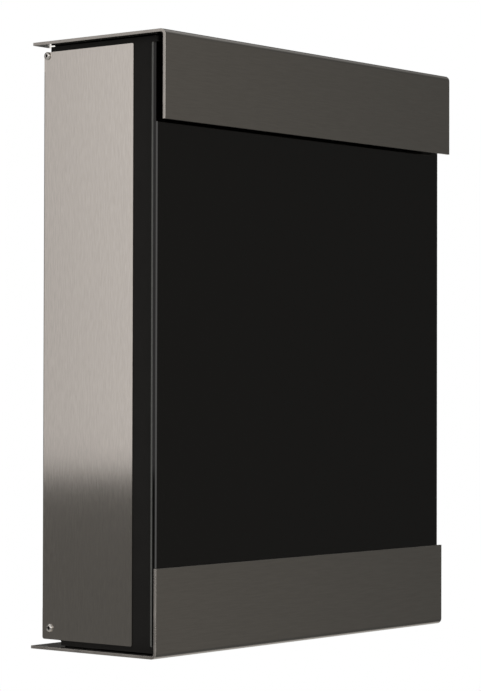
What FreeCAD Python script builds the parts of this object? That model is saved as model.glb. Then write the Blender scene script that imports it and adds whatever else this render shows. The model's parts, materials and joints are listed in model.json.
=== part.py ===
"""Wall mounted mailbox: a sheet steel box with a glass front, a hinged top lid and a hinged bottom flap.

Millimetres. X runs to the right as seen from the front, Y runs towards the wall and Z is up. The origin
is the centre of the four wall holes, on the wall's plane, at half the box's height.

The left hand pieces are drawn, and their right hand twins are mirrored in the YZ plane.
"""

import FreeCAD, Part
import Sketcher
import math
import os
import re

DIMENSIONS = {
    # how far a cut starts and ends outside the sheet that it goes through
    "cut_margin": 1,
    # outer envelope
    "box_height": 400,
    "box_width": 318,
    "lid_depth": 115.5,
    "flap_depth": 109,
    "flange_height": 57.5,
    "plate_sheet": 2,
    "bend_inner": 2,
    "plate_back": 8,
    # outer shell: a steel U that is open to the front
    "shell_inset": 8,
    "shell_back": 10,
    "shell_depth": 79.5,
    "shell_end_gap": 4,
    "shell_sheet": 1,
    "shell_bend": 1.5,
    "shell_bend_relief": 0.8,
    "shell_top_corner": 2.5,
    "shell_low_corner": 1.5,
    "shell_front_corner": 1,
    "back_notch_width": 16,
    "top_notch_depth": 13,
    "low_notch_depth": 20,
    # inner case: a black U that is open to the back, inside the shell
    "case_sheet": 1.2,
    "case_end_gap": 0.5,
    "case_bend": 2.2,
    "case_top_cut_back": 16,
    "case_top_cut_depth": 15,
    "case_low_cut_back": 26.8,
    "case_low_cut_depth": 22,
    "case_return_width": 14,
    "case_return_inset": 28,
    "case_lip_width": 14,
    "case_lip_drop": 1.5,
    "pin_clearance": 3.2,
    # glass front
    "glass_inset": 2,
    "glass_end_gap": 7.5,
    "glass_thick": 4,
    "glass_front": 114.4,
    "glass_arris": 0.4,
    "glass_corner": 1,
    "tape_thick": 1,
    "tape_width": 12,
    "tape_margin": 10,
    # hinges: button head screws on which the lid and the flap turn
    "lid_pin_back": 13.8,
    "lid_pin_drop": 8.4,
    "flap_pin_back": 17.4,
    "flap_pin_rise": 13.5,
    "screw_radius": 1.5,
    "screw_play": 0.05,
    "screw_head_radius": 2.65,
    "screw_head_height": 1.3,
    "screw_head_dome": 0.9,
    "screw_head_gap": 0.1,
    "screw_length": 9,
    "socket_flats": 2,
    "socket_depth": 0.8,
    "washer_radius": 2.6,
    "washer_play": 0.1,
    "washer_thick": 1.5,
    "ear_gap": 0.2,
    "ear_sheet": 2,
    "ear_foot_width": 11,
    "hinge_nut_flats": 5.5,
    "hinge_nut_height": 2.4,
    "lid_ear_boss": 2.8,
    "lid_ear_foot_near": 18,
    "lid_ear_foot_far": 48,
    "lid_ear_elbow": 26,
    "lid_ear_arm_drop": 18,
    "lid_ear_heel": 1,
    "lid_ear_tip_rise": 1.5,
    "flap_ear_boss": 3.5,
    "flap_ear_foot_near": 29,
    "flap_ear_foot_far": 60,
    "flap_ear_elbow": 37,
    "flap_ear_arm_rise": 22,
    "flap_ear_tip_drop": 2.5,
    # wall fixing
    "wall_hole_radius": 3.25,
    "wall_hole_across": 220,
    "wall_hole_up": 324,
    "spacer_radius": 9,
    # weld studs and nuts that hold the case in the shell
    "stud_radius": 2,
    "stud_length": 9,
    "stud_across": 284,
    "stud_up": 140,
    "case_nut_flats": 7,
    "case_nut_height": 3.2,
    # slot plate below the lid, through which the mail drops
    "slot_plate_sheet": 1.2,
    "slot_plate_top": 148,
    "slot_plate_edge": 12,
    "slot_plate_gap": 1.2,
    "slot_width": 256,
    "slot_front": 85,
    "slot_gap": 38,
    "rivet_radius": 1.6,
    "rivet_head_radius": 3.1,
    "rivet_head_height": 0.9,
    "slot_rivet_front": 80,
    "slot_rivet_rear": 30,
    # rubber buffers between the case's lips and the lid and flap
    "buffer_radius": 4,
    "buffer_play": 0.1,
    "buffer_across": 240,
    # lock in the flap, and the keeper on the case that its cam turns over
    "lock_back": 81,
    "lock_radius": 8,
    "lock_head_radius": 9.5,
    "lock_head_height": 1.5,
    "lock_head_edge": 0.5,
    "lock_body_rise": 18,
    "lock_nut_radius": 11,
    "lock_nut_height": 4,
    "plug_radius": 5.5,
    "plug_play": 0.05,
    "plug_rise": 19,
    "plug_square": 6,
    "plug_square_height": 2,
    "keyway_width": 2,
    "keyway_length": 7.5,
    "keyway_depth": 10,
    "cam_sheet": 2,
    "cam_width": 13,
    "cam_reach": 23,
    "cam_end_flat": 0.2,
    "cam_screw_radius": 2,
    "cam_screw_depth": 6,
    "cam_screw_head_radius": 4,
    "cam_screw_head_height": 2.2,
    "keeper_sheet": 2,
    "keeper_width": 36,
    "keeper_shelf": 12,
    "keeper_height": 22,
    "keeper_gap": 1,
    "keeper_rivet_across": 22,
    "keeper_rivet_rise": 14,
}

# How closely two places, volumes or directions have to agree to count as the same.
TOLERANCE = 0.01

doc = FreeCAD.newDocument("mailbox")
sheet = doc.addObject("Spreadsheet::Sheet", "sizes")
for row, (alias, number) in enumerate(DIMENSIONS.items(), start=1):
    sheet.set(f"A{row}", alias)
    sheet.set(f"B{row}", str(number))
    sheet.setAlias(f"B{row}", alias)
doc.recompute()

# Places that several pieces share, as expressions of the sheet's names.
HALF_HEIGHT = "box_height / 2"
HALF_WIDTH = "box_width / 2"
SHELL_X = f"({HALF_WIDTH} - shell_inset)"
SHELL_INNER_X = f"({SHELL_X} - shell_sheet)"
SHELL_TOP = f"({HALF_HEIGHT} - plate_sheet - shell_end_gap)"
SHELL_INNER_Y = "(shell_back + shell_sheet)"
CASE_TOP = f"({HALF_HEIGHT} - plate_sheet - case_end_gap)"
CASE_FRONT_Y = "(glass_front - glass_thick - tape_thick)"
CASE_INNER_Y = f"({CASE_FRONT_Y} - case_sheet)"
CASE_INNER_X = f"({SHELL_INNER_X} - case_sheet)"
EAR_X = f"({SHELL_INNER_X} - washer_thick - ear_gap)"
LID_PIN_Z = f"({HALF_HEIGHT} - lid_pin_drop)"
FLAP_PIN_Z = f"(-{HALF_HEIGHT} + flap_pin_rise)"
LID_UNDERSIDE_Z = f"({HALF_HEIGHT} - plate_sheet)"
FLAP_FLOOR_Z = f"(-{HALF_HEIGHT} + plate_sheet)"
SLOT_PLATE_UNDER_Z = "(slot_plate_top - slot_plate_sheet)"
CAM_Z = f"(-{HALF_HEIGHT} + plug_rise)"
KEEPER_Z = f"({CAM_Z} - keeper_gap)"
LID_PIN = ("-lid_pin_back", LID_PIN_Z)
FLAP_PIN = ("-flap_pin_back", FLAP_PIN_Z)
LID_LIP_Z = f"({CASE_TOP} - case_lip_drop)"
FLAP_LIP_Z = f"(-{CASE_TOP} + case_lip_drop)"
LOCK_CENTRE = ("0", "-lock_back")
WALL_HOLES = [(f"{side} * wall_hole_across / 2", f"{end} * wall_hole_up / 2")
              for side in (-1, 1) for end in (-1, 1)]
STUDS = [(f"{side} * stud_across / 2", f"{row} * stud_up")
         for side in (-1, 1) for row in (-1, 0, 1)]
SLOT_RIVETS = [(f"-{place}", f"{SLOT_PLATE_UNDER_Z} - slot_plate_edge / 2")
               for place in ("slot_rivet_front", "slot_rivet_rear")]
KEEPER_RIVETS = [(f"{side} * keeper_rivet_across / 2", f"{KEEPER_Z} + keeper_rivet_rise")
                 for side in (-1, 1)]


def bound(expression):
    """The expression with each of the sheet's names turned into a reference to its cell."""
    return re.sub(r"[a-z_]+", lambda m: f"sizes.{m[0]}" if m[0] in DIMENSIONS else m[0], expression)


def add_body(node):
    """A new body whose label names the sub-part's file."""
    body = doc.addObject("PartDesign::Body", node)
    body.Label = node
    return body


def plane_of(body, role):
    return next(feature for feature in body.Origin.OriginFeatures if feature.Role == role)


def bind_point(sketch, geometry, position, across, up):
    """Hold one point of the sketch at the given distances from the sketch's origin."""
    for kind, expression in (("DistanceX", across), ("DistanceY", up)):
        index = sketch.addConstraint(Sketcher.Constraint(kind, -1, 1, geometry, position, 1.0))
        sketch.setExpression(f"Constraints[{index}]", bound(expression))


def draw_outline(sketch, corners):
    """A closed outline of straight lines through corners, each an (across, up) pair of expressions."""
    count = len(corners)
    first = sketch.GeometryCount
    ring = [FreeCAD.Vector(math.cos(2 * math.pi * k / count), math.sin(2 * math.pi * k / count), 0)
            for k in range(count)]
    for k in range(count):
        sketch.addGeometry(Part.LineSegment(ring[k], ring[(k + 1) % count]))
    for k in range(count):
        sketch.addConstraint(Sketcher.Constraint("Coincident", first + k, 2, first + (k + 1) % count, 1))
    for k, (across, up) in enumerate(corners):
        bind_point(sketch, first + k, 1, across, up)


def draw_circle(sketch, across, up, radius):
    circle = sketch.addGeometry(Part.Circle(FreeCAD.Vector(0, 0, 0), FreeCAD.Vector(0, 0, 1), 1))
    bind_point(sketch, circle, 3, across, up)
    index = sketch.addConstraint(Sketcher.Constraint("Radius", circle, 1.0))
    sketch.setExpression(f"Constraints[{index}]", bound(radius))


def rectangle(left, right, low, high):
    return [(left, low), (right, low), (right, high), (left, high)]


def hexagon(across, up, flats):
    """The corners of a hexagon with the given size across its flats."""
    corner = f"{flats} / sqrt(3)"
    return [(f"{across} + {corner} * cos({60 * k} deg)", f"{up} + {corner} * sin({60 * k} deg)")
            for k in range(6)]


def sketch_on(body, role, offset, shapes):
    """A sketch parallel to one of the body's origin planes, offset along the plane's normal.

    Each shape is a list of corners, or a (centre across, centre up, radius) circle.
    """
    sketch = body.newObject("Sketcher::SketchObject", f"{body.Name}_sketch")
    sketch.AttachmentSupport = [(plane_of(body, role), "")]
    sketch.MapMode = "FlatFace"
    sketch.setExpression("AttachmentOffset.Base.z", bound(offset))
    for shape in shapes:
        if isinstance(shape, list):
            draw_outline(sketch, shape)
        else:
            draw_circle(sketch, *shape)
    return sketch


def pad(body, role, offset, length, shapes, midplane=False):
    """Grow the shapes along the plane's normal: +X for YZ, +Z for XY and -Y for XZ."""
    feature = body.newObject("PartDesign::Pad", f"{body.Name}_pad")
    feature.Profile = sketch_on(body, role, offset, shapes)
    feature.setExpression("Length", bound(length))
    if midplane:
        feature.SideType = "Symmetric"
    doc.recompute()
    return feature


def pocket(body, role, offset, length, shapes):
    """Cut the shapes along the plane's normal, and stop if the cut removes nothing."""
    before = body.Shape.Volume
    feature = body.newObject("PartDesign::Pocket", f"{body.Name}_pocket")
    feature.Profile = sketch_on(body, role, offset, shapes)
    feature.Reversed = True
    feature.setExpression("Length", bound(length))
    doc.recompute()
    if body.Shape.Volume > before - TOLERANCE:
        raise RuntimeError(f"{body.Label}: a pocket cuts nothing")
    return feature


def fillet(body, radius, wanted, kind="PartDesign::Fillet"):
    """Round the body's edges for which wanted(edge) is true, or chamfer them."""
    base = body.Tip
    names = [f"Edge{k}" for k, edge in enumerate(base.Shape.Edges, start=1) if wanted(edge)]
    feature = body.newObject(kind, f"{body.Name}_edge")
    feature.Base = (base, names)
    feature.setExpression("Radius" if kind.endswith("Fillet") else "Size", bound(radius))
    doc.recompute()
    return feature


def mirror(body, originals=None):
    """Repeat the given features, or else the whole body so far, on the other side of the YZ plane."""
    feature = body.newObject("PartDesign::Mirrored", f"{body.Name}_mirror")
    feature.MirrorPlane = (plane_of(body, "YZ_Plane"), [""])
    if originals:
        feature.Originals = originals
    else:
        feature.TransformMode = "Whole shape"
    body.Tip = feature
    doc.recompute()


def along(edge, axis):
    """Whether a straight edge runs along the axis, given by its index 0, 1 or 2."""
    if edge.Curve.TypeId != "Part::GeomLine":
        return False
    direction = edge.tangentAt(edge.FirstParameter)
    return abs(abs(direction[axis]) - 1) < TOLERANCE


def size(alias):
    return float(DIMENSIONS[alias])


def near(edge, **places):
    """Whether the middle of an edge is at the given x, y or z."""
    middle = edge.BoundBox.Center
    return all(abs(getattr(middle, axis) - place) < TOLERANCE for axis, place in places.items())


# ---------------------------------------------------------------------------------------- fixed box


def outer_shell():
    """The brushed steel U: two side panels and the back, with the holes for the wall and the hinges."""
    body = add_body("outer_shell")
    front = "-(shell_back + shell_depth)"
    back = "-shell_back"
    top = f"({SHELL_TOP} - top_notch_depth)"
    low = f"(-{SHELL_TOP} + low_notch_depth)"
    pad(body, "XY_Plane", low, f"{top} - {low}", [[
        (f"-{SHELL_X}", front), (f"-{SHELL_X}", back), (SHELL_X, back), (SHELL_X, front),
        (SHELL_INNER_X, front), (SHELL_INNER_X, f"-{SHELL_INNER_Y}"),
        (f"-{SHELL_INNER_X}", f"-{SHELL_INNER_Y}"), (f"-{SHELL_INNER_X}", front)]])
    back_y = -size("shell_back")
    fillet(body, "shell_bend", lambda e: along(e, 2) and near(e, y=back_y))
    fillet(body, "shell_bend - shell_sheet",
           lambda e: along(e, 2) and near(e, y=back_y - size("shell_sheet")))
    relief = "-(shell_back + shell_bend_relief)"
    for start in (f"-{SHELL_X}", SHELL_INNER_X):
        pad(body, "YZ_Plane", start, "shell_sheet",
            [rectangle(front, relief, top, SHELL_TOP), rectangle(front, relief, f"-{SHELL_TOP}", low)])
    notch = f"({SHELL_INNER_X} - back_notch_width)"
    pad(body, "XZ_Plane", "shell_back", "shell_sheet",
        [rectangle(f"-{notch}", notch, top, SHELL_TOP), rectangle(f"-{notch}", notch, f"-{SHELL_TOP}", low)])
    corner_z = size("box_height") / 2 - size("plate_sheet") - size("shell_end_gap")
    front_y = back_y - size("shell_depth")
    fillet(body, "shell_front_corner", lambda e: along(e, 0) and near(e, y=front_y))
    for radius, z in (("shell_top_corner", corner_z), ("shell_low_corner", -corner_z)):
        fillet(body, radius, lambda e: along(e, 0) and near(e, y=back_y - size("shell_bend_relief"), z=z))
    pocket(body, "XZ_Plane", "shell_back - cut_margin", "shell_sheet + 2 * cut_margin",
           [(x, z, "wall_hole_radius") for x, z in WALL_HOLES])
    pocket(body, "YZ_Plane", f"-{SHELL_X} - cut_margin", f"2 * ({SHELL_X} + cut_margin)",
           [(*pin, "screw_radius + screw_play") for pin in (LID_PIN, FLAP_PIN)])


def shell_studs():
    """Weld studs on the inside of the back, for the case's nuts."""
    body = add_body("shell_studs")
    pad(body, "XZ_Plane", SHELL_INNER_Y, "stud_length", [(x, z, "stud_radius") for x, z in STUDS])


def inner_case():
    """The black U: the front wall behind the glass and two side walls, with turned-in returns at the back."""
    body = add_body("inner_case")
    back = f"-{SHELL_INNER_Y}"
    turn = f"-({SHELL_INNER_Y} + case_sheet)"
    inset = f"({SHELL_INNER_X} - case_return_width)"
    right = [(SHELL_INNER_X, f"-{CASE_FRONT_Y}"), (SHELL_INNER_X, back), (inset, back), (inset, turn),
             (CASE_INNER_X, turn), (CASE_INNER_X, f"-{CASE_INNER_Y}")]
    left = [(f"-{across}", up) for across, up in reversed(right)]
    pad(body, "XY_Plane", f"-{CASE_TOP}", f"2 * {CASE_TOP}", [right + left])
    front = size("glass_front") - size("glass_thick") - size("tape_thick")
    inner_x = size("box_width") / 2 - size("shell_inset") - size("shell_sheet") - size("case_sheet")
    back_y = -size("shell_back") - size("shell_sheet")
    fillet(body, "case_bend", lambda e: along(e, 2) and (near(e, y=-front) or near(e, y=back_y))
           and abs(e.BoundBox.Center.x) > inner_x)
    fillet(body, "case_bend - case_sheet",
           lambda e: along(e, 2) and (near(e, x=inner_x) or near(e, x=-inner_x)))
    top_cut = f"({CASE_TOP} - case_top_cut_depth)"
    low_cut = f"(-{CASE_TOP} + case_low_cut_depth)"
    above, below = f"{CASE_TOP} + cut_margin", f"-{CASE_TOP} - cut_margin"
    pocket(body, "YZ_Plane", f"-{HALF_WIDTH}", "box_width",
           [rectangle("-case_top_cut_back", "0", top_cut, above),
            rectangle("-case_low_cut_back", "0", below, low_cut)])
    pocket(body, "YZ_Plane", f"-{HALF_WIDTH}", "box_width", [(*LID_PIN, "pin_clearance")])
    through_returns = "shell_sheet + case_sheet + cut_margin"
    pocket(body, "XZ_Plane", "shell_back", through_returns,
           [rectangle(f"-{CASE_INNER_X}", CASE_INNER_X, f"{CASE_TOP} - case_return_inset", above),
            rectangle(f"-{CASE_INNER_X}", CASE_INNER_X, below, f"-{CASE_TOP} + case_return_inset")])
    pocket(body, "XZ_Plane", "shell_back", through_returns, [(x, z, "stud_radius") for x, z in STUDS])
    pocket(body, "YZ_Plane", f"-{HALF_WIDTH}", "box_width", [(y, z, "rivet_radius") for y, z in SLOT_RIVETS])
    pocket(body, "XZ_Plane", f"{CASE_INNER_Y} - cut_margin", "case_sheet + 2 * cut_margin",
           [(x, z, "rivet_radius") for x, z in KEEPER_RIVETS])
    lip = rectangle(f"-{CASE_INNER_X}", CASE_INNER_X, f"-{CASE_INNER_Y}", f"-{CASE_INNER_Y} + case_lip_width")
    for under in (f"{LID_LIP_Z} - case_sheet", FLAP_LIP_Z):
        pad(body, "XY_Plane", under, "case_sheet", [lip])


def case_nuts():
    """Hexagon nuts on the weld studs."""
    body = add_body("case_nuts")
    shapes = []
    for x, z in STUDS:
        shapes += [hexagon(x, z, "case_nut_flats"), (x, z, "stud_radius")]
    pad(body, "XZ_Plane", f"{SHELL_INNER_Y} + case_sheet", "case_nut_height", shapes)


def slot_plate():
    """The plate below the lid with the slot for the mail, and turned-down edges at its sides."""
    body = add_body("slot_plate")
    front = f"-({CASE_INNER_Y} - slot_plate_gap)"
    back = f"-({SHELL_INNER_Y} + case_sheet + slot_plate_gap)"
    pad(body, "XY_Plane", SLOT_PLATE_UNDER_Z, "slot_plate_sheet",
        [rectangle(f"-{CASE_INNER_X}", CASE_INNER_X, front, back)])
    edge = pad(body, "XY_Plane", f"{SLOT_PLATE_UNDER_Z} - slot_plate_edge", "slot_plate_edge",
               [rectangle(f"-{CASE_INNER_X}", f"-{CASE_INNER_X} + slot_plate_sheet", front, back)])
    mirror(body, [edge])
    pocket(body, "XY_Plane", f"{SLOT_PLATE_UNDER_Z} - cut_margin", "slot_plate_sheet + 2 * cut_margin",
           [rectangle("-slot_width / 2", "slot_width / 2", "-slot_front", "-slot_front + slot_gap")])
    pocket(body, "YZ_Plane", f"-{HALF_WIDTH}", "box_width", [(y, z, "rivet_radius") for y, z in SLOT_RIVETS])


def slot_plate_rivets():
    """Blind rivets from the case's side walls into the slot plate's edges, with their heads inside."""
    body = add_body("slot_plate_rivets")
    shanks = pad(body, "YZ_Plane", f"-{SHELL_INNER_X}", "case_sheet + slot_plate_sheet",
                 [(y, z, "rivet_radius") for y, z in SLOT_RIVETS])
    heads = pad(body, "YZ_Plane", f"-{CASE_INNER_X} + slot_plate_sheet", "rivet_head_height",
                [(y, z, "rivet_head_radius") for y, z in SLOT_RIVETS])
    mirror(body, [shanks, heads])


def front_glass():
    """The black glass pane, with a polished arris along all its edges."""
    body = add_body("front_glass")
    side = f"({HALF_WIDTH} - glass_inset)"
    top = f"({HALF_HEIGHT} - glass_end_gap)"
    pad(body, "XZ_Plane", "glass_front - glass_thick", "glass_thick",
        [rectangle(f"-{side}", side, f"-{top}", top)])
    fillet(body, "glass_corner", lambda e: along(e, 1))
    fillet(body, "glass_arris", lambda e: not along(e, 1), kind="PartDesign::Chamfer")


def glass_tape():
    """Four strips of foam tape that hold the glass on the case."""
    body = add_body("glass_tape")
    side = f"({SHELL_INNER_X} - tape_margin)"
    top = f"({HALF_HEIGHT} - glass_end_gap - tape_margin)"
    upright = [rectangle(f"{sign} * {side}", f"{sign} * ({side} - tape_width)", f"-{top}", top)
               for sign in (-1, 1)]
    inner = f"({side} - 2 * tape_width)"
    level = [rectangle(f"-{inner}", inner, f"{sign} * {top}", f"{sign} * ({top} - tape_width)")
             for sign in (-1, 1)]
    pad(body, "XZ_Plane", CASE_FRONT_Y, "tape_thick", upright + level)


def wall_spacers():
    """Rubber discs around the wall holes that keep the hinged plates clear of the wall."""
    body = add_body("wall_spacers")
    pad(body, "XZ_Plane", "0", "shell_back",
        [(x, z, radius) for x, z in WALL_HOLES for radius in ("spacer_radius", "wall_hole_radius")])


def rubber_buffers(node, low, high):
    """Two rubber discs on one of the case's lips, which the closed lid or flap nearly touches."""
    body = add_body(node)
    centre = f"-{CASE_INNER_Y} + case_lip_width / 2"
    pad(body, "XY_Plane", low, f"{high} - {low}",
        [(f"{side} * buffer_across / 2", centre, "buffer_radius") for side in (-1, 1)])


def keeper_bracket():
    """The angle on the inside of the front wall whose shelf the lock's cam turns over."""
    body = add_body("keeper_bracket")
    wall = f"-{CASE_INNER_Y}"
    pad(body, "YZ_Plane", "0", "keeper_width", [[
        (wall, f"{KEEPER_Z} - keeper_sheet"), (f"{wall} + keeper_shelf", f"{KEEPER_Z} - keeper_sheet"),
        (f"{wall} + keeper_shelf", KEEPER_Z), (f"{wall} + keeper_sheet", KEEPER_Z),
        (f"{wall} + keeper_sheet", f"{KEEPER_Z} + keeper_height"), (wall, f"{KEEPER_Z} + keeper_height")]],
        midplane=True)
    pocket(body, "XZ_Plane", f"{CASE_INNER_Y} - keeper_sheet - cut_margin", "keeper_sheet + 2 * cut_margin",
           [(x, z, "rivet_radius") for x, z in KEEPER_RIVETS])
    wall_y = -(size("glass_front") - size("glass_thick") - size("tape_thick") - size("case_sheet"))
    shelf_y = wall_y + size("keeper_shelf")
    fillet(body, "keeper_sheet", lambda e: along(e, 2) and near(e, y=shelf_y))


def keeper_rivets():
    """Two rivets through the case's front wall and the keeper, flush at the front."""
    body = add_body("keeper_rivets")
    pad(body, "XZ_Plane", f"{CASE_INNER_Y} - keeper_sheet", "keeper_sheet + case_sheet",
        [(x, z, "rivet_radius") for x, z in KEEPER_RIVETS])
    pad(body, "XZ_Plane", f"{CASE_INNER_Y} - keeper_sheet - rivet_head_height", "rivet_head_height",
        [(x, z, "rivet_head_radius") for x, z in KEEPER_RIVETS])


# ------------------------------------------------------------------------------------------- hinges


def hinge_washers(node, pin):
    """Nylon washers between the side panels and the ears."""
    body = add_body(node)
    ring = pad(body, "YZ_Plane", f"-{SHELL_INNER_X}", "washer_thick",
               [(*pin, "washer_radius"), (*pin, "screw_radius + washer_play")])
    mirror(body, [ring])


def hinge_screws(node, pin):
    """Button head screws with a hexagon socket, whose shanks turn in the side panels."""
    body = add_body(node)
    face = f"(-{SHELL_X} - screw_head_gap)"
    pad(body, "YZ_Plane", f"{face} - screw_head_height", "screw_head_height", [(*pin, "screw_head_radius")])
    tip = -(size("box_width") / 2 - size("shell_inset") + size("screw_head_gap") + size("screw_head_height"))
    fillet(body, "screw_head_dome", lambda e: near(e, x=tip))
    pad(body, "YZ_Plane", face, "screw_length", [(*pin, "screw_radius")])
    pocket(body, "YZ_Plane", f"{face} - screw_head_height", "socket_depth", [hexagon(*pin, "socket_flats")])
    mirror(body)


def hinge_nuts(node, pin):
    """Nuts on the inner side of the ears."""
    body = add_body(node)
    nut = pad(body, "YZ_Plane", f"-{EAR_X} + ear_sheet", "hinge_nut_height",
              [hexagon(*pin, "hinge_nut_flats"), (*pin, "screw_radius")])
    mirror(body, [nut])


def ear(node, side, profile, foot, pin, boss_radius):
    """One ear: an upright arm with a boss around the screw, and a foot that is welded to the plate.

    The profile and the foot are outlines in the YZ plane.
    """
    body = add_body(node)
    start = f"-{EAR_X}" if side < 0 else f"{EAR_X} - ear_sheet"
    pad(body, "YZ_Plane", start, "ear_sheet", [profile])
    pad(body, "YZ_Plane", start, "ear_sheet", [(*pin, boss_radius)])
    foot_start = f"-{EAR_X}" if side < 0 else f"{EAR_X} - ear_foot_width"
    pad(body, "YZ_Plane", foot_start, "ear_foot_width", [foot])
    pocket(body, "YZ_Plane", f"{start} - cut_margin", "ear_sheet + 2 * cut_margin", [(*pin, "screw_radius")])


def angled_plate(node, outline, end, depth):
    """A plate across the whole width with a flange at its front, bent from one sheet.

    It lies on the box's upper end, where end is 1, or on its lower end, where end is -1.
    """
    body = add_body(node)
    pad(body, "YZ_Plane", "0", "box_width", [outline], midplane=True)
    outer_y, outer_z = -(size("plate_back") + depth), size("box_height") / 2
    inner_y, inner_z = outer_y + size("plate_sheet"), outer_z - size("plate_sheet")
    fillet(body, "bend_inner + plate_sheet", lambda e: along(e, 0) and near(e, y=outer_y, z=end * outer_z))
    fillet(body, "bend_inner", lambda e: along(e, 0) and near(e, y=inner_y, z=end * inner_z))
    return body


# ---------------------------------------------------------------------------------------------- lid


def top_lid():
    """The top plate with the flange that hangs down in front of the glass."""
    front = "-(plate_back + lid_depth)"
    low = f"{HALF_HEIGHT} - flange_height"
    outline = [("-plate_back", LID_UNDERSIDE_Z), ("-plate_back", HALF_HEIGHT), (front, HALF_HEIGHT),
               (front, low), (f"{front} + plate_sheet", low), (f"{front} + plate_sheet", LID_UNDERSIDE_Z)]
    angled_plate("top_lid", outline, 1, size("lid_depth"))


def lid_ear(node, side):
    """An ear that hangs below the lid, with the pin near its back end."""
    low = f"{LID_UNDERSIDE_Z} - lid_ear_arm_drop"
    profile = [("-lid_ear_foot_near", LID_UNDERSIDE_Z), ("-lid_ear_foot_far", LID_UNDERSIDE_Z),
               ("-lid_ear_foot_far", f"{LID_UNDERSIDE_Z} - ear_sheet"), ("-lid_ear_elbow", low),
               ("-lid_pin_back - lid_ear_heel", f"{LID_PIN_Z} - lid_ear_boss"),
               ("-lid_pin_back", f"{LID_PIN_Z} + lid_ear_tip_rise")]
    foot = rectangle("-lid_ear_foot_far", "-lid_ear_foot_near",
                     f"{LID_UNDERSIDE_Z} - ear_sheet", LID_UNDERSIDE_Z)
    ear(node, side, profile, foot, LID_PIN, "lid_ear_boss")


# --------------------------------------------------------------------------------------------- flap


def bottom_flap():
    """The bottom plate with the flange that stands up in front of the glass, and the hole for the lock."""
    front = "-(plate_back + flap_depth)"
    high = f"-{HALF_HEIGHT} + flange_height"
    outline = [("-plate_back", FLAP_FLOOR_Z), ("-plate_back", f"-{HALF_HEIGHT}"), (front, f"-{HALF_HEIGHT}"),
               (front, high), (f"{front} + plate_sheet", high), (f"{front} + plate_sheet", FLAP_FLOOR_Z)]
    body = angled_plate("bottom_flap", outline, -1, size("flap_depth"))
    pocket(body, "XY_Plane", f"-{HALF_HEIGHT} - cut_margin", "plate_sheet + 2 * cut_margin",
           [(*LOCK_CENTRE, "lock_radius")])


def flap_ear(node, side):
    """An ear that stands on the flap, with the pin near its back end."""
    high = f"{FLAP_FLOOR_Z} + flap_ear_arm_rise"
    profile = [("-flap_ear_foot_near", FLAP_FLOOR_Z), ("-flap_ear_foot_far", FLAP_FLOOR_Z),
               ("-flap_ear_foot_far", f"{FLAP_FLOOR_Z} + ear_sheet"), ("-flap_ear_elbow", high),
               ("-flap_pin_back", f"{FLAP_PIN_Z} + flap_ear_boss"),
               ("-flap_pin_back", f"{FLAP_PIN_Z} - flap_ear_tip_drop")]
    foot = rectangle("-flap_ear_foot_far", "-flap_ear_foot_near",
                     FLAP_FLOOR_Z, f"{FLAP_FLOOR_Z} + ear_sheet")
    ear(node, side, profile, foot, FLAP_PIN, "flap_ear_boss")


# --------------------------------------------------------------------------------------------- lock


def lock_body():
    """The lock's housing, with a rim below the flap and a bore for the plug."""
    body = add_body("lock_body")
    pad(body, "XY_Plane", f"-{HALF_HEIGHT} - lock_head_height", "lock_head_height",
        [(*LOCK_CENTRE, "lock_head_radius")])
    low = -size("box_height") / 2 - size("lock_head_height")
    fillet(body, "lock_head_edge", lambda e: near(e, z=low))
    pad(body, "XY_Plane", f"-{HALF_HEIGHT}", "lock_body_rise", [(*LOCK_CENTRE, "lock_radius")])
    pocket(body, "XY_Plane", f"-{HALF_HEIGHT} - lock_head_height - cut_margin",
           "lock_head_height + lock_body_rise + 2 * cut_margin", [(*LOCK_CENTRE, "plug_radius + plug_play")])


def lock_nut():
    """The round nut that clamps the housing in the flap."""
    body = add_body("lock_nut")
    pad(body, "XY_Plane", FLAP_FLOOR_Z, "lock_nut_height",
        [(*LOCK_CENTRE, "lock_nut_radius"), (*LOCK_CENTRE, "lock_radius")])


def lock_plug():
    """The barrel that the key turns, with a keyway below and a square on top for the cam."""
    body = add_body("lock_plug")
    low = f"-{HALF_HEIGHT} - lock_head_height"
    pad(body, "XY_Plane", low, "lock_head_height + plug_rise", [(*LOCK_CENTRE, "plug_radius")])
    half = "plug_square / 2"
    pad(body, "XY_Plane", CAM_Z, "plug_square_height",
        [rectangle(f"-{half}", half, f"-lock_back - {half}", f"-lock_back + {half}")])
    pocket(body, "XY_Plane", low, "keyway_depth",
           [rectangle("-keyway_width / 2", "keyway_width / 2", "-lock_back - keyway_length / 2",
                      "-lock_back + keyway_length / 2")])
    pocket(body, "XY_Plane", f"{CAM_Z} + plug_square_height - cam_screw_depth", "cam_screw_depth",
           [(*LOCK_CENTRE, "cam_screw_radius")])


def lock_cam():
    """The flat arm on the plug's square, drawn in the unlocked place, beside the keeper."""
    body = add_body("lock_cam")
    half = "cam_width / 2"
    pad(body, "XY_Plane", CAM_Z, "cam_sheet",
        [rectangle(f"-{half}", "cam_reach", f"-lock_back - {half}", f"-lock_back + {half}")])
    fillet(body, "(cam_width - cam_end_flat) / 2", lambda e: along(e, 2) and e.BoundBox.Center.x < 0)
    fillet(body, "cam_sheet", lambda e: along(e, 2) and near(e, x=size("cam_reach")))
    square = "plug_square / 2"
    pocket(body, "XY_Plane", f"{CAM_Z} - cut_margin", "cam_sheet + 2 * cut_margin",
           [rectangle(f"-{square}", square, f"-lock_back - {square}", f"-lock_back + {square}")])


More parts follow.
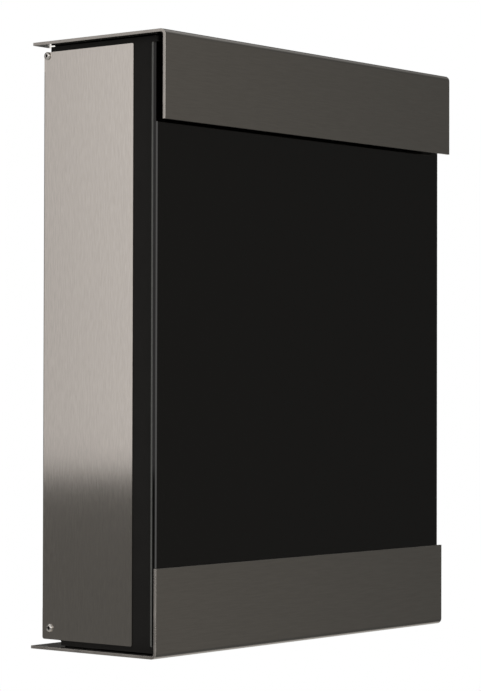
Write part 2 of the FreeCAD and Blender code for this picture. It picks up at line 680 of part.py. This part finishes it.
def cam_screw():
    """The screw that holds the cam on the plug."""
    body = add_body("cam_screw")
    face = f"{CAM_Z} + cam_sheet"
    pad(body, "XY_Plane", face, "cam_screw_head_height", [(*LOCK_CENTRE, "cam_screw_head_radius")])
    pad(body, "XY_Plane", f"{face} - cam_screw_depth", "cam_screw_depth",
        [(*LOCK_CENTRE, "cam_screw_radius")])
    pocket(body, "XY_Plane", f"{face} + cam_screw_head_height - socket_depth", "socket_depth",
           [hexagon(*LOCK_CENTRE, "socket_flats")])


outer_shell()
shell_studs()
inner_case()
case_nuts()
slot_plate()
slot_plate_rivets()
front_glass()
glass_tape()
wall_spacers()
rubber_buffers("lid_buffers", LID_LIP_Z, f"({LID_UNDERSIDE_Z} - buffer_play)")
rubber_buffers("flap_buffers", f"({FLAP_FLOOR_Z} + buffer_play)", FLAP_LIP_Z)
keeper_bracket()
keeper_rivets()
for plate, pin in (("lid", LID_PIN), ("flap", FLAP_PIN)):
    hinge_washers(f"{plate}_hinge_washers", pin)
    hinge_screws(f"{plate}_hinge_screws", pin)
    hinge_nuts(f"{plate}_hinge_nuts", pin)
top_lid()
bottom_flap()
for side_name, side in (("left", -1), ("right", 1)):
    lid_ear(f"lid_ear_{side_name}", side)
    flap_ear(f"flap_ear_{side_name}", side)
lock_body()
lock_nut()
lock_plug()
lock_cam()
cam_screw()

doc.recompute()
for item in doc.Objects:
    if {"Invalid", "Error"} & set(item.State):
        raise RuntimeError(f"{item.Label}: {item.State}")

os.makedirs("parts", exist_ok=True)
for item in doc.Objects:
    if item.TypeId == "PartDesign::Body":
        if item.Shape.isNull() or not item.Shape.isValid():
            raise RuntimeError(f"{item.Label}: its shape is not valid")
        item.Shape.exportStep(f"parts/{item.Label}.step")
        print(f"{item.Label:20s} {len(item.Shape.Solids)} solids {item.Shape.Volume:12.1f} mm3")
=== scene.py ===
"""Looks of the wall mounted mailbox: finer sheets, glass and screws, procedural materials, studio and camera.

Metres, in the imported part's frame: X to the right as seen from the front, Y into the wall, Z up.
"""

import bmesh
import bpy
import json
import math
from mathutils import Matrix, Vector


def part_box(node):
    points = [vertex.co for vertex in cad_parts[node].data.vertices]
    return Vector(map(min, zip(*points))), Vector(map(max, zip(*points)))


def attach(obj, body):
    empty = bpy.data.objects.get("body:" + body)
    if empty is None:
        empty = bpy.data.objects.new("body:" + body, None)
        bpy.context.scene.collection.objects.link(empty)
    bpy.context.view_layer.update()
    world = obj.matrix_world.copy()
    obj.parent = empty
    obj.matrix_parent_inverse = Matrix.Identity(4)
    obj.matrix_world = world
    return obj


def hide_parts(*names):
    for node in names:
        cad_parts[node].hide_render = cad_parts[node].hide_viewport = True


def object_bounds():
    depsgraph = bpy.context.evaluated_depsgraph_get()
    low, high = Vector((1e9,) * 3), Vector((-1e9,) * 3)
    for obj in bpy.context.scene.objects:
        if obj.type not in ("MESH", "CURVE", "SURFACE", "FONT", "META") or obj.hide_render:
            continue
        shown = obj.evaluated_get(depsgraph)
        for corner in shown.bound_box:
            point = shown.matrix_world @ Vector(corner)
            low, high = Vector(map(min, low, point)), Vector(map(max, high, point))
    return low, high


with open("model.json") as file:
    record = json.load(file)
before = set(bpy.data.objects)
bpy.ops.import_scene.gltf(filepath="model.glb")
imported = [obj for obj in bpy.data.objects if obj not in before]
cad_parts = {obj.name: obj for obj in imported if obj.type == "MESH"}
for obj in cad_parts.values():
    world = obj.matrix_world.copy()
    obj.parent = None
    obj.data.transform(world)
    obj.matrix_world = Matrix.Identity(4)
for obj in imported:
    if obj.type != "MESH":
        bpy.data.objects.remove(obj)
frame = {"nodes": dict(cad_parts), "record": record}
NODES = frame["nodes"]
BODY_OF = {node: body for body, nodes in frame["record"]["behaviour"]["bodies"].items() for node in nodes}
CAD_LOW, CAD_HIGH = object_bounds()
MM = 0.001

# Sheet work, as the CAD part has it.
PLATE_SHEET = 2 * MM
PLATE_BEND = 2 * MM
BEND_STEPS = 14

# How far edges are rounded at most: all pieces, and those that are blunter. The bevel is held back where a
# piece has very short edges, so that the shell and the case stay almost sharp.
EDGE = 0.15 * MM
BLUNT_EDGES = {"outer_shell": 0.2 * MM, "inner_case": 0.2 * MM, "slot_plate": 0.2 * MM,
               "wall_spacers": 0.6 * MM, "lid_buffers": 0.4 * MM, "flap_buffers": 0.4 * MM,
               "lock_nut": 0.3 * MM, "keeper_bracket": 0.25 * MM}

# Points closer than this are one, faces flatter than this are one, and edges sharper than this are rounded.
SAME_PLACE = MM / 1000
FLAT_ANGLE = math.radians(0.5)
SHARP_ANGLE = math.radians(35)

# ------------------------------------------------------------------------------------ shader helpers


def add(tree, kind, settings=None, **inputs):
    """A shader node. Inputs are numbers, colours or another node's output."""
    node = tree.nodes.new(kind)
    for name, value in (settings or {}).items():
        setattr(node, name, value)
    for name, value in inputs.items():
        plug(tree, node.inputs[name.replace("_", " ")], value)
    return node


def plug(tree, socket, value):
    if isinstance(value, bpy.types.NodeSocket):
        tree.links.new(value, socket)
    else:
        socket.default_value = value


def calculate(tree, operation, *values):
    node = tree.nodes.new("ShaderNodeMath")
    node.operation = operation
    for socket, value in zip(node.inputs, values):
        plug(tree, socket, value)
    return node.outputs[0]


def ramp(tree, value, start, end, low=0.0, high=1.0):
    """A smooth step of value from start to end, giving low to high."""
    node = add(tree, "ShaderNodeMapRange", {"interpolation_type": "SMOOTHSTEP"}, Value=value, From_Min=start,
               From_Max=end, To_Min=low, To_Max=high)
    return node.outputs["Result"]


def blend_colour(tree, factor, first, second):
    node = tree.nodes.new("ShaderNodeMix")
    node.data_type = "RGBA"
    plug(tree, node.inputs["Factor"], factor)
    plug(tree, node.inputs[6], first)
    plug(tree, node.inputs[7], second)
    return node.outputs[2]


def brighten(tree, colour, factor):
    node = tree.nodes.new("ShaderNodeVectorMath")
    node.operation = "SCALE"
    plug(tree, node.inputs[0], colour)
    plug(tree, node.inputs["Scale"], factor)
    return node.outputs[0]


def noise(tree, per_metre, detail=2.0, roughness=0.5, stretch=(1, 1, 1)):
    """Noise that is fixed to the piece, with stretch times per_metre cells along each axis."""
    place = add(tree, "ShaderNodeTexCoord").outputs["Object"]
    scaled = add(tree, "ShaderNodeMapping", {"vector_type": "POINT"}, Vector=place,
                 Scale=tuple(per_metre * part for part in stretch))
    texture = add(tree, "ShaderNodeTexNoise", Vector=scaled.outputs[0], Scale=1.0, Detail=detail,
                  Roughness=roughness)
    return texture.outputs["Fac"]


def material(name, colour, roughness, metallic=0.0, **inputs):
    """A material with one Principled shader, and that shader and its node tree."""
    made = bpy.data.materials.new(name)
    made.use_nodes = True
    tree = made.node_tree
    shader = tree.nodes["Principled BSDF"]
    shader.inputs["Base Color"].default_value = (*colour, 1)
    shader.inputs["Roughness"].default_value = roughness
    shader.inputs["Metallic"].default_value = metallic
    for key, value in inputs.items():
        shader.inputs[key.replace("_", " ")].default_value = value
    return made, tree, shader


def shade_of(colour, factor):
    return (*(part * factor for part in colour), 1)


def bump(tree, shader, height, distance, strength):
    node = add(tree, "ShaderNodeBump", Height=height, Distance=distance, Strength=strength)
    plug(tree, shader.inputs["Normal"], node.outputs[0])


# ------------------------------------------------------------------------------------------ materials

STEEL = (0.66, 0.625, 0.585)


def brushed_steel(name, grain, contrast):
    """Stainless steel brushed along one axis: fine scratches, wider streaks and faint handling marks."""
    made, tree, shader = material(name, STEEL, 0.12, metallic=1.0, Anisotropic=1.0)
    scratch = {"X": (0.03, 1, 1), "Z": (1, 1, 0.06)}[grain]
    wider = {"X": (0.06, 1, 1), "Z": (1, 1, 0.12)}[grain]
    fine = noise(tree, 2600, detail=2, stretch=scratch)
    streak = noise(tree, 1100, detail=3, stretch=wider)
    marks = noise(tree, 14, detail=4, roughness=0.6)
    mixed = calculate(tree, "MULTIPLY_ADD", fine, 0.4, calculate(tree, "MULTIPLY", streak, 0.6))
    tone = blend_colour(tree, ramp(tree, mixed, 0.3, 0.7), shade_of(STEEL, 1 - contrast),
                        shade_of(STEEL, 1 + contrast))
    plug(tree, shader.inputs["Base Color"], tone)
    rough = calculate(tree, "MULTIPLY_ADD", mixed, 0.03, ramp(tree, marks, 0.35, 0.75, 0.098, 0.112))
    plug(tree, shader.inputs["Roughness"], rough)
    bump(tree, shader, mixed, 0.02 * MM, 0.25)
    across = {"X": (0, 0.7, 0.7), "Z": (0.7, 0.7, 0)}[grain]
    direction = add(tree, "ShaderNodeCombineXYZ", X=across[0], Y=across[1], Z=across[2])
    turned = add(tree, "ShaderNodeVectorTransform",
                 {"vector_type": "VECTOR", "convert_from": "OBJECT", "convert_to": "WORLD"},
                 Vector=direction.outputs[0])
    plug(tree, shader.inputs["Tangent"], turned.outputs[0])
    return made


def rolled_steel(name):
    """The sheet's unbrushed inner side: smooth and nearly mirror bright, with faint rolling streaks."""
    made, tree, shader = material(name, STEEL, 0.03, metallic=1.0)
    rolled = noise(tree, 500, detail=2, stretch=(0.02, 1, 1))
    stains = noise(tree, 30, detail=4)
    tone = blend_colour(tree, ramp(tree, stains, 0.3, 0.7), shade_of(STEEL, 0.94), shade_of(STEEL, 1.03))
    plug(tree, shader.inputs["Base Color"], tone)
    plug(tree, shader.inputs["Roughness"], calculate(tree, "MULTIPLY_ADD", rolled, 0.03, 0.02))
    bump(tree, shader, rolled, 0.005 * MM, 0.05)
    return made


def plain_metal(name, colour, roughness, cells=900):
    """Plated or mill finish metal: fine pits and soft clouds of duller surface."""
    made, tree, shader = material(name, colour, roughness, metallic=1.0)
    pits = noise(tree, cells, detail=3, roughness=0.6)
    clouds = noise(tree, 90, detail=3)
    tone = blend_colour(tree, ramp(tree, clouds, 0.3, 0.7), shade_of(colour, 0.88), shade_of(colour, 1.04))
    plug(tree, shader.inputs["Base Color"], tone)
    rough = calculate(tree, "MULTIPLY_ADD", clouds, 0.16, roughness - 0.08)
    plug(tree, shader.inputs["Roughness"], rough)
    bump(tree, shader, pits, 0.02 * MM, 0.3)
    return made


def powder_coat():
    """Fine textured black powder coat on the inner case."""
    colour = (0.0078, 0.0074, 0.0068)
    made, tree, shader = material("black_powder_coat", colour, 0.5, Specular_IOR_Level=0.17)
    peel = noise(tree, 1500, detail=3, roughness=0.55)
    clouds = noise(tree, 60, detail=2)
    tone = blend_colour(tree, clouds, shade_of(colour, 0.8), shade_of(colour, 1.3))
    plug(tree, shader.inputs["Base Color"], tone)
    plug(tree, shader.inputs["Roughness"], calculate(tree, "MULTIPLY_ADD", peel, 0.2, 0.4))
    bump(tree, shader, peel, 0.05 * MM, 0.35)
    return made


def black_glass(name, shine):
    """Float glass with black enamel behind it: a very flat gloss surface with faint wipe marks."""
    colour = (0.0010, 0.0009, 0.0008)
    made, tree, shader = material(name, colour, 0.03, IOR=1.52, Specular_IOR_Level=shine)
    wipe = noise(tree, 9, detail=5, roughness=0.6, stretch=(1, 1, 0.4))
    flow = noise(tree, 5, detail=1, stretch=(1, 1, 0.3))
    plug(tree, shader.inputs["Roughness"], ramp(tree, wipe, 0.4, 0.8, 0.02, 0.07))
    tone = blend_colour(tree, wipe, shade_of(colour, 0.9), shade_of(colour, 1.15))
    plug(tree, shader.inputs["Base Color"], tone)
    bump(tree, shader, flow, 0.05 * MM, 0.1)
    return made


def ground_glass_edge():
    """The pane's ground arrises and edges, which scatter light."""
    colour = (0.075, 0.077, 0.072)
    made, tree, shader = material("ground_glass_edge", colour, 0.45, IOR=1.52)
    grind = noise(tree, 2200, detail=2, stretch=(0.1, 1, 0.1))
    tone = blend_colour(tree, grind, shade_of(colour, 0.7), shade_of(colour, 1.3))
    plug(tree, shader.inputs["Base Color"], tone)
    bump(tree, shader, grind, 0.03 * MM, 0.5)
    return made


def rubber():
    colour = (0.018, 0.018, 0.018)
    made, tree, shader = material("black_rubber", colour, 0.7)
    grain = noise(tree, 1800, detail=3)
    bloom = noise(tree, 150, detail=3)
    tone = blend_colour(tree, ramp(tree, bloom, 0.4, 0.75), shade_of(colour, 0.9), shade_of(colour, 1.9))
    plug(tree, shader.inputs["Base Color"], tone)
    plug(tree, shader.inputs["Roughness"], calculate(tree, "MULTIPLY_ADD", bloom, 0.2, 0.55))
    bump(tree, shader, grain, 0.06 * MM, 0.4)
    return made


def foam():
    colour = (0.03, 0.03, 0.032)
    made, tree, shader = material("foam_tape", colour, 0.9)
    cells = add(tree, "ShaderNodeTexVoronoi", Vector=add(tree, "ShaderNodeTexCoord").outputs["Object"],
                Scale=2200.0).outputs["Distance"]
    tone = blend_colour(tree, cells, shade_of(colour, 1.4), shade_of(colour, 0.7))
    plug(tree, shader.inputs["Base Color"], tone)
    bump(tree, shader, cells, 0.1 * MM, 0.6)
    return made


def nylon():
    colour = (0.72, 0.70, 0.64)
    made, tree, shader = material("natural_nylon", colour, 0.4, Subsurface_Weight=0.15, Subsurface_Scale=MM)
    flow = noise(tree, 400, detail=2)
    tone = blend_colour(tree, flow, shade_of(colour, 0.9), shade_of(colour, 1.05))
    plug(tree, shader.inputs["Base Color"], tone)
    plug(tree, shader.inputs["Roughness"], calculate(tree, "MULTIPLY_ADD", flow, 0.2, 0.3))
    bump(tree, shader, flow, 0.02 * MM, 0.3)
    return made


UPRIGHT_STEEL = brushed_steel("steel_brushed_upright", "Z", 0.055)
LEVEL_STEEL = brushed_steel("steel_brushed_level", "X", 0.05)
INNER_STEEL = rolled_steel("steel_rolled_inside")
CUT_STEEL = plain_metal("steel_cut_edge", (0.50, 0.475, 0.445), 0.28)
# The hexagon socket's walls and floor get a near black metal: painted shade for the shade deep inside the
# stainless screw's socket.
SOCKET_PAINTED_SHADE = plain_metal("screw_socket_painted_shade", (0.05, 0.05, 0.05), 0.5)
GLASS_SIDE = black_glass("black_glass_side", 0.3)
GLASS_EDGE = ground_glass_edge()
FINISHES = {
    "brushed_steel": UPRIGHT_STEEL,
    "plain_steel": plain_metal("steel_mill_finish", (0.52, 0.51, 0.50), 0.38),
    "black_coat": powder_coat(),
    "black_glass": black_glass("black_glass", 0.72),
    "foam_tape": foam(),
    "rubber": rubber(),
    "screw_steel": plain_metal("screw_stainless", (0.68, 0.66, 0.63), 0.16, cells=1600),
    "rivet": plain_metal("rivet_aluminium", (0.68, 0.68, 0.69), 0.34),
    "nylon": nylon(),
    "lock_nickel": plain_metal("lock_nickel_plate", (0.63, 0.60, 0.55), 0.2, cells=1600),
    "lock_brass": plain_metal("lock_brass", (0.72, 0.53, 0.26), 0.27, cells=1600),
}
SLOT_OF = {part["node"]: part["material_slot"] for part in frame["record"]["subparts"]}

# --------------------------------------------------------------------------------------- mesh helpers


def add_piece(name, mesh, node, finish=None):
    """Show the mesh as a piece that stands for a CAD node and moves with the node's body."""
    piece = bpy.data.objects.new(name, mesh)
    bpy.context.scene.collection.objects.link(piece)
    mesh.materials.append(finish or FINISHES[SLOT_OF[node]])
    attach(piece, BODY_OF[node])
    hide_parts(node)
    return piece


def mesh_of(name, build):
    """A mesh that build(bm) fills."""
    mesh = bpy.data.meshes.new(name)
    bm = bmesh.new()
    build(bm)
    bmesh.ops.recalc_face_normals(bm, faces=bm.faces)
    bm.to_mesh(mesh)
    bm.free()
    return mesh


def skin(bm, first, second, finish=0, closed=False):
    """Faces between two lines that have as many points as each other."""
    count = len(first)
    for k in range(count if closed else count - 1):
        following = (k + 1) % count
        face = bm.faces.new((first[k], first[following], second[following], second[k]))
        face.material_index = finish


def round_edges(piece, width):
    """Round the piece's sharp edges and shade it smooth, with its flat faces kept flat."""
    piece.data.shade_smooth()
    bevel = piece.modifiers.new("round_edges", "BEVEL")
    bevel.width = width
    bevel.segments = 3
    bevel.limit_method = "ANGLE"
    bevel.angle_limit = SHARP_ANGLE
    weighted = piece.modifiers.new("flat_faces", "WEIGHTED_NORMAL")
    weighted.weight = 100


def refine(node, edge):
    """The CAD node's own shape with merged faces, and edges rounded as far as its shortest ones allow."""
    def build(bm):
        bm.from_mesh(NODES[node].data)
        bmesh.ops.remove_doubles(bm, verts=bm.verts, dist=SAME_PLACE)
        bmesh.ops.dissolve_limit(bm, angle_limit=FLAT_ANGLE, verts=bm.verts, edges=bm.edges)

    round_edges(add_piece(f"{node}_finished", mesh_of(node, build), node), edge)


# ------------------------------------------------------------------------------------ finer CAD pieces


def arc(centre, radius, start, end):
    """Points on an arc from start to end, in degrees from the first axis to the second."""
    angles = [math.radians(start + (end - start) * step / BEND_STEPS) for step in range(BEND_STEPS + 1)]
    return [(centre[0] + radius * math.cos(angle), centre[1] + radius * math.sin(angle)) for angle in angles]


OUTSIDE, INSIDE, CUT = 0, 1, 2


def angled_plate(name, node, flange_down):
    """The lid or the flap: one sheet that is bent once, with its cut edges eased."""
    low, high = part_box(node)
    plate_z, flange_z = (high.z, low.z) if flange_down else (low.z, high.z)
    inward = -1 if flange_down else 1
    bend = PLATE_SHEET + PLATE_BEND
    centre = (low.y + bend, plate_z + inward * bend)
    turn = (-inward * 90, -inward * 180)
    outer = [(high.y, plate_z), *arc(centre, bend, *turn), (low.y, flange_z)]
    inner = [(high.y, plate_z + inward * PLATE_SHEET), *arc(centre, PLATE_BEND, *turn),
             (low.y + PLATE_SHEET, flange_z)]

    def build(bm):
        def line_at(x, line):
            return [bm.verts.new((x, *point)) for point in line]

        left_outer, left_inner = line_at(low.x, outer), line_at(low.x, inner)
        right_outer, right_inner = line_at(high.x, outer), line_at(high.x, inner)
        skin(bm, left_outer, right_outer, OUTSIDE)
        skin(bm, left_inner, right_inner, INSIDE)
        skin(bm, left_outer, left_inner, CUT)
        skin(bm, right_outer, right_inner, CUT)
        for end in (0, -1):
            skin(bm, (left_outer[end], left_inner[end]), (right_outer[end], right_inner[end]), CUT)

    piece = add_piece(name, mesh_of(name, build), node, LEVEL_STEEL)
    piece.data.materials.append(INNER_STEEL)
    piece.data.materials.append(CUT_STEEL)
    round_edges(piece, EDGE)


POLISHED, GROUND, SIDE = 0, 1, 2


def pane():
    """The glass front: a rounded rectangle, ground along its back edge, with a very flat slope in front."""
    low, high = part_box("front_glass")
    corner, sharpest, steps = 1.2 * MM, 0.1 * MM, 12
    arris, ground_band = 0.15 * MM, 1.5 * MM
    slope_rise, slope_width = 0.2 * MM, 1.4 * MM
    quarters = ((1, 1), (-1, 1), (-1, -1), (1, -1))
    # From the back to the front: the depth, how far inside the outline, and the finish up to the next level.
    levels = ((high.y, arris, GROUND), (high.y - arris, 0, GROUND), (high.y - ground_band, 0, SIDE),
              (low.y + slope_rise, 0, POLISHED), (low.y, slope_width, POLISHED))

    def outline(bm, y, inset):
        """The corner arcs' centres and the points around the pane, at one depth."""
        radius = max(corner - inset, sharpest)
        across, up = high.x - inset - radius, high.z - inset - radius
        centres = [(right * across, above * up) for right, above in quarters]
        points = []
        for quarter, (x, z) in enumerate(centres):
            for step in range(steps + 1):
                angle = math.radians(90 * (quarter + step / steps))
                points.append(bm.verts.new((x + radius * math.cos(angle), y, z + radius * math.sin(angle))))
        return centres, points

    def flat_side(bm, y, centres, points):
        """A flat face of the pane: its middle, a strip along each edge and a fan in each corner."""
        middle = [bm.verts.new((x, y, z)) for x, z in centres]
        bm.faces.new(middle)
        for k, point in enumerate(points):
            quarter, step = divmod(k, steps + 1)
            following = points[(k + 1) % len(points)]
            if step < steps:
                bm.faces.new((middle[quarter], point, following))
            else:
                bm.faces.new((middle[quarter], point, following, middle[(quarter + 1) % len(middle)]))

    def build(bm):
        loops = []
        for y, inset, _ in levels:
            centres, points = outline(bm, y, inset)
            loops.append(points)
            if y in (high.y, low.y):
                flat_side(bm, y, centres, points)
        for first, second, (_, _, finish) in zip(loops, loops[1:], levels):
            skin(bm, first, second, finish, closed=True)

    piece = add_piece("glass_pane", mesh_of("glass_pane", build), "front_glass")
    piece.data.materials.append(GLASS_EDGE)
    piece.data.materials.append(GLASS_SIDE)
    piece.data.shade_flat()


HEAD, SOCKET = 0, 1


def button_screws(name, node):
    """Button head screws with a hexagon socket, one at each side, with their axes along X."""
    low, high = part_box(node)
    centre_y, centre_z = (low.y + high.y) / 2, (low.z + high.z) / 2
    head, shank, length = (high.z - low.z) / 2, 1.5 * MM, 9 * MM
    rise, rim, dome, dome_step = 1.3 * MM, 0.25 * MM, 1.2 * MM, 15
    rim_bevel, mouth_bevel = 0.1 * MM, 0.12 * MM
    flats, socket_depth, tip_radius, tip_depth = 2 * MM, 1.3 * MM, 0.8 * MM, 1.5 * MM
    around = 72
    angles = [2 * math.pi * k / around for k in range(around)]

    def circle(radius):
        return [radius] * around

    def hexagon(margin):
        """The socket's hexagon as a radius at each angle, larger by the margin."""
        sector = math.pi / 3
        return [flats / 2 / math.cos((angle + sector / 2) % sector - sector / 2) + margin for angle in angles]

    # From the shank's end to the socket's tip: the radii around the axis, and the depth below the head's top.
    rings = [(circle(shank), length), (circle(shank), rise), (circle(head - rim_bevel), rise),
             (circle(head), rise - rim_bevel)]
    for degrees in range(0, 90 + dome_step, dome_step):
        angle = math.radians(degrees)
        rings.append((circle(head - dome * (1 - math.cos(angle))), (rise - rim) * (1 - math.sin(angle))))
    rings.append((hexagon(mouth_bevel), 0))
    socket_start = len(rings)
    rings += [(hexagon(0), mouth_bevel), (hexagon(0), socket_depth), (circle(tip_radius), tip_depth)]

    def build(bm):
        def ring_at(x, radii):
            return [bm.verts.new((x, centre_y + radius * math.cos(angle),
                                  centre_z + radius * math.sin(angle)))
                    for radius, angle in zip(radii, angles)]

        for side in (-1, 1):
            loops = [ring_at(side * (high.x - depth), radii) for radii, depth in rings]
            for ring, (first, second) in enumerate(zip(loops, loops[1:])):
                skin(bm, first, second, SOCKET if ring >= socket_start else HEAD, closed=True)
            bm.faces.new(loops[0])
            bm.faces.new(loops[-1]).material_index = SOCKET

    piece = add_piece(name, mesh_of(name, build), node)
    # The socket faces take the near black material, which is painted shade.
    piece.data.materials.append(SOCKET_PAINTED_SHADE)
    piece.data.shade_smooth()
    piece.data.set_sharp_from_angle(angle=SHARP_ANGLE)


angled_plate("lid_sheet", "top_lid", flange_down=True)
angled_plate("flap_sheet", "bottom_flap", flange_down=False)
pane()
button_screws("lid_screws", "lid_hinge_screws")
button_screws("flap_screws", "flap_hinge_screws")
REBUILT = {"top_lid", "bottom_flap", "front_glass", "lid_hinge_screws", "flap_hinge_screws"}
for node in sorted(set(NODES) - REBUILT):
    refine(node, BLUNT_EDGES.get(node, EDGE))

# --------------------------------------------------------------------------------- studio and camera


def studio_world():
    """White to the camera. Everything else sees a dark studio with soft boxes around it.

    A direction's rise above the horizon and its turn from +Y towards +X are in degrees.
    """
    world = bpy.data.worlds.new("studio")
    bpy.context.scene.world = world
    world.use_nodes = True
    tree = world.node_tree
    place = add(tree, "ShaderNodeTexCoord").outputs["Generated"]
    split = add(tree, "ShaderNodeSeparateXYZ", Vector=place)
    rise = calculate(tree, "DEGREES", calculate(tree, "ARCSINE", split.outputs["Z"]))
    turn = calculate(tree, "DEGREES", calculate(tree, "ARCTAN2", split.outputs["X"], split.outputs["Y"]))

    def window(value, start, end, soft_start, soft_end):
        """1 from start to end, falling softly to 0 inside both ends."""
        opening = ramp(tree, value, start, start + soft_start)
        closing = ramp(tree, value, end - soft_end, end, 1.0, 0.0)
        return calculate(tree, "MULTIPLY", opening, closing)

    def soft_box(light, colour, rises, turns):
        """The light with a box of another colour in it, whose rises and turns are each what window takes."""
        inside = calculate(tree, "MULTIPLY", window(rise, *rises), window(turn, *turns))
        return blend_colour(tree, inside, light, colour)

    # The dim walls of the room.
    wall_right = (0.074, 0.074, 0.071, 1)
    wall_front = (0.122, 0.117, 0.108, 1)
    wall_left = (0.116, 0.113, 0.107, 1)
    light = blend_colour(tree, ramp(tree, turn, 118, 136), wall_right, wall_front)
    light = blend_colour(tree, ramp(tree, turn, 0, -30), light, wall_left)

    # The large box on the left, which the side panel mirrors. It is brighter higher up and towards the front.
    warm_white = (1, 0.966, 0.950)
    panel_light = blend_colour(tree, ramp(tree, rise, 0, 9), (*warm_white, 1), shade_of(warm_white, 1.05))
    panel_light = brighten(tree, panel_light, ramp(tree, turn, -42, -56, 0.59, 0.98))
    panel_light = brighten(tree, panel_light, ramp(tree, turn, -70, -100, 1.0, 1.3))
    light = soft_box(light, panel_light, rises=(-2.35, 40, 0.6, 20), turns=(-179, -34, 5, 16))

    # The box in front of the object, beside what the glass mirrors.
    light = soft_box(light, (1.5, 1.48, 1.45, 1), rises=(-50, 60, 20, 20), turns=(142, 178, 8, 2))

    # The sweep on the right behind the object, bright below the horizon, and a box straight behind it.
    upper_sweep = blend_colour(tree, ramp(tree, turn, 56, 60), (0.05, 0.049, 0.047, 1), (0.40, 0.39, 0.37, 1))
    sweep = blend_colour(tree, ramp(tree, rise, -3, 3), (1.3, 1.28, 1.25, 1), upper_sweep)
    light = soft_box(light, sweep, rises=(-25, 25, 10, 10), turns=(46.55, 100, 0.03, 20))
    light = soft_box(light, (0.42, 0.41, 0.39, 1), rises=(-25, 60, 10, 20), turns=(2, 42, 10, 8))

    # The pale floor all around except in front, and what is straight above and straight below.
    beside_front = calculate(tree, "SUBTRACT", 1.0, window(turn, 85, 165, 15, 15))
    pale_floor = calculate(tree, "MULTIPLY", beside_front, ramp(tree, rise, -8, -18))
    light = blend_colour(tree, pale_floor, light, (0.45, 0.44, 0.42, 1))
    light = blend_colour(tree, ramp(tree, rise, 25, 70), light, (0.95, 0.95, 0.95, 1))
    light = blend_colour(tree, ramp(tree, rise, -28, -90), light, (0.4, 0.4, 0.4, 1))

    seen = add(tree, "ShaderNodeLightPath").outputs["Is Camera Ray"]
    studio = add(tree, "ShaderNodeBackground", Color=light, Strength=1.0)
    white = add(tree, "ShaderNodeBackground", Color=(1, 1, 1, 1), Strength=1.0)
    mixed = add(tree, "ShaderNodeMixShader", Fac=seen)
    tree.links.new(studio.outputs[0], mixed.inputs[1])
    tree.links.new(white.outputs[0], mixed.inputs[2])
    tree.links.new(mixed.outputs[0], tree.nodes["World Output"].inputs["Surface"])


def floor():
    """A pale disc well below the box. Its underside lets the view through."""
    drop, radius = 0.3, 2.0
    bpy.ops.mesh.primitive_circle_add(vertices=128, radius=radius, fill_type="NGON",
                                      location=(0, 0, CAD_LOW.z - drop))
    disc = bpy.context.object
    disc.name = "floor"
    made, tree, shader = material("pale_floor", (0.86, 0.86, 0.85), 0.8)
    plug(tree, shader.inputs["Base Color"],
         blend_colour(tree, noise(tree, 3), (0.84, 0.84, 0.83, 1), (0.88, 0.88, 0.87, 1)))
    clear = add(tree, "ShaderNodeBsdfTransparent")
    sided = add(tree, "ShaderNodeMixShader", Fac=add(tree, "ShaderNodeNewGeometry").outputs["Backfacing"])
    tree.links.new(shader.outputs[0], sided.inputs[1])
    tree.links.new(clear.outputs[0], sided.inputs[2])
    tree.links.new(sided.outputs[0], tree.nodes["Material Output"].inputs["Surface"])
    disc.data.materials.append(made)
    disc.visible_glossy = False


def soft_light():
    """A large soft light above, for the floor and the parts that don't mirror the studio."""
    data = bpy.data.lights.new("overhead_soft_box", "AREA")
    data.shape = "DISK"
    data.size = 1.6
    data.energy = 38
    lamp = bpy.data.objects.new("overhead_soft_box", data)
    lamp.location = (-0.4, -0.5, 2.2)
    lamp.rotation_euler = (Vector((0, 0, 0)) - lamp.location).to_track_quat("-Z", "Y").to_euler()
    lamp.visible_camera = False
    lamp.visible_glossy = False
    bpy.context.scene.collection.objects.link(lamp)


def camera():
    """In front of the box, on its left and about level with its middle, far away, with a long lens."""
    heading, tilt, roll = math.radians(50.94), math.radians(0.877), math.radians(0.141)
    forward = Vector((math.sin(heading) * math.cos(tilt), math.cos(heading) * math.cos(tilt), math.sin(tilt)))
    level = Vector((math.cos(heading), -math.sin(heading), 0))
    upright = level.cross(forward)
    right = math.cos(roll) * level + math.sin(roll) * upright
    up = right.cross(forward)
    data = bpy.data.cameras.new("camera")
    data.sensor_width = 36
    data.lens = 130.61
    data.clip_start, data.clip_end = 0.05, 50
    view = bpy.data.objects.new("camera", data)
    view.matrix_world = Matrix((right, up, -forward)).transposed().to_4x4()
    view.location = (-1.3579, -1.1583, -0.0253)
    bpy.context.scene.collection.objects.link(view)
    bpy.context.scene.camera = view


studio_world()
floor()
soft_light()
camera()
bpy.context.scene.view_settings.view_transform = "Standard"
